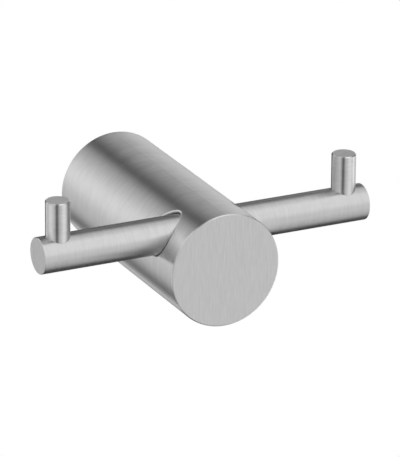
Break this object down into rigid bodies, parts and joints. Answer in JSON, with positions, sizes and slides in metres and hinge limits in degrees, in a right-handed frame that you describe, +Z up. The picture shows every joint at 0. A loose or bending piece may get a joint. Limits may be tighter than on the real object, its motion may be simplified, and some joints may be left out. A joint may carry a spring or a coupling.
{
  "type": "robe hook",
  "caption": "Wall-mounted robe hook: a round brushed steel barrel crossed near its front by a round bar with an upright pin at each end.",
  "frame": {"origin": "centre of the barrel's back face, on the wall", "axes": "+Y points into the wall, +X runs along the cross bar, +Z is up"},
  "size_m": [0.1152, 0.0845, 0.0462],
  "materials": {
    "barrel_steel": "stainless steel brushed round the barrel, with straight vertical brushing on the front face",
    "bar_steel": "stainless steel brushed round the bar",
    "pin_steel": "stainless steel finely brushed round the pin",
    "bracket_steel": "stainless steel as turned",
    "screw_steel": "plain stainless steel screw"
  },
  "bodies": {
    "root": {"barrel": "barrel_steel", "cross_bar": "bar_steel", "left_pin": "pin_steel", "right_pin": "pin_steel", "wall_bracket": "bracket_steel", "bracket_set_screw": "screw_steel", "bar_set_screw": "screw_steel"}
  },
  "joints": []
}
